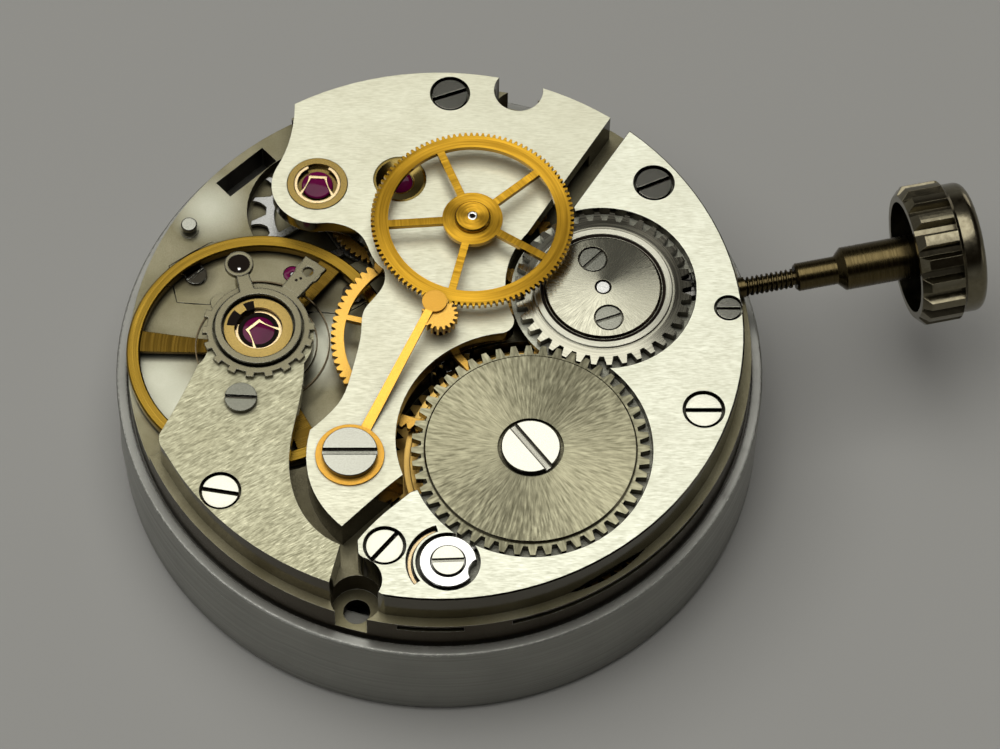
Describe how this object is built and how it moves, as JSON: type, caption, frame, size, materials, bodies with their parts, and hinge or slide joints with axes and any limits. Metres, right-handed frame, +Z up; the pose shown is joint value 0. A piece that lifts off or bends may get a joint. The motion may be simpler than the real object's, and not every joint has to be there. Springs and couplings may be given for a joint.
{
  "type": "mechanical watch movement",
  "caption": "Hand-wound watch movement in a metal holder ring, with a centre seconds train under open bridges, a balance with hairspring, and a fluted winding crown on its stem.",
  "frame": {"origin": "on the movement's centre axis, at the level of the holder ring's foot, on which the part stands", "axes": "+X along the winding stem, out towards the crown; +Z up the centre axis, from the dial side to the bridges; Y completes a right-handed frame"},
  "size_m": [0.0332, 0.0246, 0.0091],
  "materials": {
    "holder_steel": "brushed along the rim, worn bright at the lip",
    "plate_plating": "nickel-plated brass, fine matt field",
    "bridge_plating": "nickel-plated brass, straight-brushed top, polished edges",
    "cock_plating": "nickel-plated brass, straight-brushed top",
    "ratchet_steel": "ring-brushed steel with a sunburst face",
    "crown_wheel_steel": "ring-brushed steel",
    "core_steel": "sunburst-brushed steel",
    "click_steel": "polished steel",
    "screw_steel": "polished steel with a dark slot",
    "keyless_steel": "fine-ground steel",
    "regulator_steel": "dark ground steel",
    "gilt_brass": "gilt brass, satin",
    "balance_gilt": "gilt alloy, polished rim",
    "barrel_brass": "brass",
    "setting_brass": "turned brass with a polished rim",
    "spring_gilt": "gilt spring strip",
    "blue_spring": "tempered steel strip",
    "pinion_steel": "polished steel",
    "jewel_ruby": "polished synthetic ruby",
    "stem_steel": "turned steel with a warm tint",
    "crown_steel": "polished steel with worn ribs",
    "gasket_rubber": "soft black rubber"
  },
  "bodies": {
    "movement": {"holder_ring": "holder_steel", "main_plate": "plate_plating", "barrel_bridge": "bridge_plating", "train_bridge": "bridge_plating", "balance_cock": "cock_plating", "pallet_bridge": "plate_plating", "bridge_screws": "screw_steel", "cock_clamp_screw": "screw_steel", "crown_wheel_core": "core_steel", "crown_wheel_screws": "screw_steel", "click_screw": "screw_steel", "click_spring": "spring_gilt", "seconds_spring": "gilt_brass", "seconds_spring_screw": "screw_steel", "jewel_settings": "setting_brass", "cap_jewels": "jewel_ruby", "jewel_springs": "spring_gilt", "train_jewels": "jewel_ruby", "hairspring": "blue_spring", "setting_jumper": "keyless_steel", "setting_jumper_screw": "screw_steel", "yoke_spring": "keyless_steel", "pallet_bridge_screws": "screw_steel", "setting_lever_screw": "screw_steel"},
    "barrel": {"barrel_drum": "barrel_brass", "barrel_cover": "barrel_brass", "mainspring": "blue_spring"},
    "ratchet": {"ratchet_wheel": "ratchet_steel", "barrel_arbor": "pinion_steel", "ratchet_screw": "screw_steel"},
    "crown_wheel": {"crown_wheel": "crown_wheel_steel"},
    "click": {"click": "click_steel"},
    "center": {"center_wheel": "gilt_brass", "center_arbor": "pinion_steel"},
    "third": {"third_wheel": "gilt_brass", "third_pinion": "pinion_steel", "seconds_driving_wheel": "gilt_brass"},
    "fourth": {"fourth_wheel": "gilt_brass", "fourth_pinion": "pinion_steel"},
    "escape": {"escape_wheel": "keyless_steel", "escape_pinion": "pinion_steel"},
    "pallet": {"pallet_fork": "keyless_steel", "pallet_jewels": "jewel_ruby"},
    "balance": {"balance_wheel": "balance_gilt", "balance_staff": "pinion_steel", "roller_table": "pinion_steel"},
    "seconds_pinion": {"seconds_pinion": "gilt_brass"},
    "cannon_pinion": {"cannon_pinion": "pinion_steel"},
    "minute_wheel": {"minute_wheel": "barrel_brass"},
    "hour_wheel": {"hour_wheel": "barrel_brass"},
    "setting_wheel": {"setting_wheel": "keyless_steel"},
    "crown_gasket": {"crown_gasket": "gasket_rubber"},
    "stem": {"winding_stem": "stem_steel", "crown": "crown_steel"},
    "sliding_pinion": {"sliding_pinion": "keyless_steel"},
    "winding_pinion": {"winding_pinion": "keyless_steel"},
    "setting_lever": {"setting_lever": "keyless_steel"},
    "yoke": {"yoke": "keyless_steel"},
    "regulator": {"regulator": "regulator_steel"},
    "stud_carrier": {"stud_carrier": "regulator_steel"}
  },
  "joints": [
    {"name": "third_wheel_turn", "type": "hinge", "parent": "movement", "child": "third", "pos_m": [0.00211, 0.00391, 0.0063], "axis": [0, 0, 1], "continuous": true},
    {"name": "center_wheel_turn", "type": "hinge", "parent": "movement", "child": "center", "pos_m": [0, 0, 0.0067], "axis": [0, 0, 1], "continuous": true},
    {"name": "barrel_turn", "type": "hinge", "parent": "movement", "child": "barrel", "pos_m": [0.00222, -0.00578, 0.0059], "axis": [0, 0, 1], "continuous": true},
    {"name": "fourth_wheel_turn", "type": "hinge", "parent": "movement", "child": "fourth", "pos_m": [-0.00012, 0.00677, 0.0058], "axis": [0, 0, 1], "continuous": true},
    {"name": "escape_wheel_turn", "type": "hinge", "parent": "movement", "child": "escape", "pos_m": [-0.00326, 0.00722, 0.0053], "axis": [0, 0, 1], "continuous": true},
    {"name": "seconds_pinion_turn", "type": "hinge", "parent": "movement", "child": "seconds_pinion", "pos_m": [0, 0, 0.0084], "axis": [0, 0, 1], "continuous": true},
    {"name": "cannon_pinion_turn", "type": "hinge", "parent": "movement", "child": "cannon_pinion", "pos_m": [0, 0, 0.0048], "axis": [0, 0, 1], "continuous": true},
    {"name": "minute_wheel_turn", "type": "hinge", "parent": "movement", "child": "minute_wheel", "pos_m": [0.00235, 0.0005, 0.0048], "axis": [0, 0, 1], "continuous": true},
    {"name": "hour_wheel_turn", "type": "hinge", "parent": "movement", "child": "hour_wheel", "pos_m": [0, 0, 0.0046], "axis": [0, 0, 1], "continuous": true},
    {"name": "setting_wheel_turn", "type": "hinge", "parent": "movement", "child": "setting_wheel", "pos_m": [0.00523, 0.00045, 0.0052], "axis": [0, 0, 1], "continuous": true},
    {"name": "crown_pull", "type": "slide", "parent": "movement", "child": "crown_gasket", "axis": [1, 0, 0], "range_m": [0, 0.0009]},
    {"name": "crown_turn", "type": "hinge", "parent": "crown_gasket", "child": "stem", "pos_m": [0.019, 0, 0.0064], "axis": [1, 0, 0], "continuous": true},
    {"name": "clutch_slide", "type": "slide", "parent": "stem", "child": "sliding_pinion", "axis": [1, 0, 0], "range_m": [-0.00135, 0]},
    {"name": "winding_pinion_turn", "type": "hinge", "parent": "movement", "child": "winding_pinion", "pos_m": [0.0094, 0, 0.0064], "axis": [1, 0, 0], "continuous": true},
    {"name": "crown_wheel_turn", "type": "hinge", "parent": "movement", "child": "crown_wheel", "pos_m": [0.00642, 0.00043, 0.0074], "axis": [0, 0, 1], "continuous": true},
    {"name": "ratchet_turn", "type": "hinge", "parent": "movement", "child": "ratchet", "pos_m": [0.00222, -0.00578, 0.0074], "axis": [0, 0, 1], "continuous": true},
    {"name": "setting_lever_swing", "type": "hinge", "parent": "movement", "child": "setting_lever", "pos_m": [0.01087, -0.00145, 0.00473], "axis": [0, 0, 1], "range_deg": [-34.6, 0]},
    {"name": "yoke_swing", "type": "hinge", "parent": "movement", "child": "yoke", "pos_m": [0.0076, -0.003, 0.00473], "axis": [0, 0, 1], "range_deg": [0, 8.7]},
    {"name": "click_swing", "type": "hinge", "parent": "movement", "child": "click", "pos_m": [-0.00178, -0.00976, 0.0074], "axis": [0, 0, 1], "range_deg": [-8, 8]},
    {"name": "pallet_swing", "type": "hinge", "parent": "movement", "child": "pallet", "pos_m": [-0.0048, 0.00459, 0.0053], "axis": [0, 0, 1], "range_deg": [-5, 5]},
    {"name": "balance_swing", "type": "hinge", "parent": "movement", "child": "balance", "pos_m": [-0.0067, 0.0013, 0.006], "axis": [0, 0, 1], "range_deg": [-300, 300], "stiffness_Nm_per_rad": 0.0000003, "deforming": ["hairspring"]},
    {"name": "regulator_swing", "type": "hinge", "parent": "movement", "child": "regulator", "pos_m": [-0.0067, 0.0013, 0.0077], "axis": [0, 0, 1], "range_deg": [-12, 12]},
    {"name": "stud_carrier_swing", "type": "hinge", "parent": "movement", "child": "stud_carrier", "pos_m": [-0.0067, 0.0013, 0.0078], "axis": [0, 0, 1], "range_deg": [-8, 8]}
  ],
  "couplings": [
    {"joint": "center_wheel_turn", "follows": "third_wheel_turn", "ratio": -0.1},
    {"joint": "barrel_turn", "follows": "third_wheel_turn", "ratio": 0.02},
    {"joint": "fourth_wheel_turn", "follows": "third_wheel_turn", "ratio": -6},
    {"joint": "escape_wheel_turn", "follows": "third_wheel_turn", "ratio": 60},
    {"joint": "seconds_pinion_turn", "follows": "third_wheel_turn", "ratio": -6},
    {"joint": "cannon_pinion_turn", "follows": "third_wheel_turn", "ratio": -0.1},
    {"joint": "minute_wheel_turn", "follows": "third_wheel_turn", "ratio": 0.033333},
    {"joint": "hour_wheel_turn", "follows": "third_wheel_turn", "ratio": -0.0083333},
    {"joint": "setting_wheel_turn", "follows": "third_wheel_turn", "ratio": -0.054545},
    {"joint": "winding_pinion_turn", "follows": "crown_turn", "ratio": 1},
    {"joint": "crown_wheel_turn", "follows": "crown_turn", "ratio": -0.27778},
    {"joint": "ratchet_turn", "follows": "crown_turn", "ratio": 0.20833},
    {"joint": "clutch_slide", "follows": "crown_pull", "ratio": -1.5},
    {"joint": "setting_lever_swing", "follows": "crown_pull", "rad_per_m": -668.7},
    {"joint": "yoke_swing", "follows": "crown_pull", "rad_per_m": 166.67}
  ]
}
